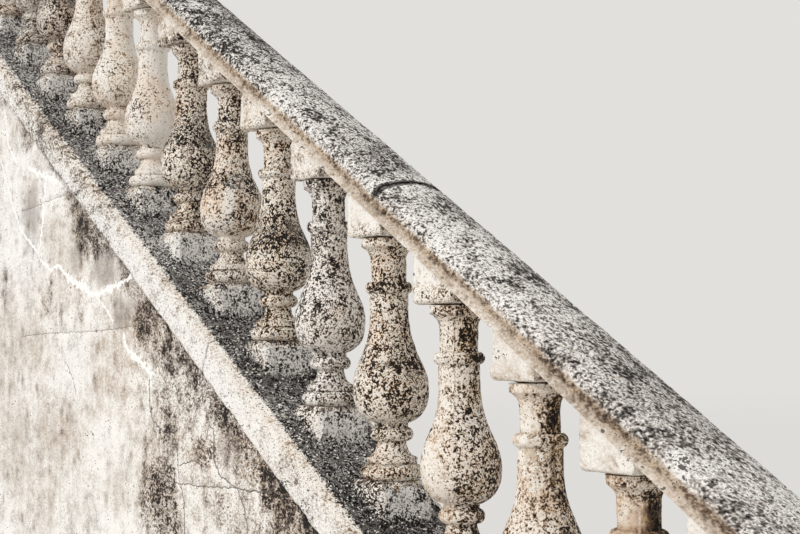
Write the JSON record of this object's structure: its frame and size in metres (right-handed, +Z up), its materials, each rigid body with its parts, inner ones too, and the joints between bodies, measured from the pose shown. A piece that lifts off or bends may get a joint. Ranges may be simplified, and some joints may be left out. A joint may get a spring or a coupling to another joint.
{
  "type": "raking stone balustrade",
  "caption": "Sloping stone balustrade of turned balusters between a stepped raking coping and a rounded handrail, on a rendered flank wall that stands on level ground.",
  "frame": {"origin": "on the ground, at the middle of the wall's foot", "axes": "+X along the balustrade, towards its low end; +Y towards the stair side; +Z up"},
  "size_m": [5.58, 0.3, 4.027],
  "materials": {
    "lime_render": "old smooth lime render, streaked with damp, mould under the coping and patched hairline cracks",
    "coping_stone": "limestone with a pale front band, speckled worn edge and black moss on its sloping top",
    "baluster_stone": "turned limestone, pitted, with black and ochre lichen that differs on each baluster",
    "wedge_stone": "pale cream limestone, smooth, with fine black specks",
    "rail_stone": "rough light grey limestone, speckled black, cleaner and beige on its upright side"
  },
  "bodies": {
    "root": {"flank_wall": "lime_render", "coping_stone_1": "coping_stone", "coping_stone_2": "coping_stone", "coping_stone_3": "coping_stone", "coping_stone_4": "coping_stone", "coping_stone_5": "coping_stone", "coping_stone_6": "coping_stone", "baluster_01": "baluster_stone", "baluster_02": "baluster_stone", "baluster_03": "baluster_stone", "baluster_04": "baluster_stone", "baluster_05": "baluster_stone", "baluster_06": "baluster_stone", "baluster_07": "baluster_stone", "baluster_08": "baluster_stone", "baluster_09": "baluster_stone", "baluster_10": "baluster_stone", "baluster_11": "baluster_stone", "baluster_12": "baluster_stone", "baluster_13": "baluster_stone", "baluster_14": "baluster_stone", "baluster_15": "baluster_stone", "baluster_16": "baluster_stone", "baluster_17": "baluster_stone", "baluster_18": "baluster_stone", "wedge_block_01": "wedge_stone", "wedge_block_02": "wedge_stone", "wedge_block_03": "wedge_stone", "wedge_block_04": "wedge_stone", "wedge_block_05": "wedge_stone", "wedge_block_06": "wedge_stone", "wedge_block_07": "wedge_stone", "wedge_block_08": "wedge_stone", "wedge_block_09": "wedge_stone", "wedge_block_10": "wedge_stone", "wedge_block_11": "wedge_stone", "wedge_block_12": "wedge_stone", "wedge_block_13": "wedge_stone", "wedge_block_14": "wedge_stone", "wedge_block_15": "wedge_stone", "wedge_block_16": "wedge_stone", "wedge_block_17": "wedge_stone", "wedge_block_18": "wedge_stone", "handrail_1": "rail_stone", "handrail_2": "rail_stone", "handrail_3": "rail_stone"}
  },
  "joints": []
}
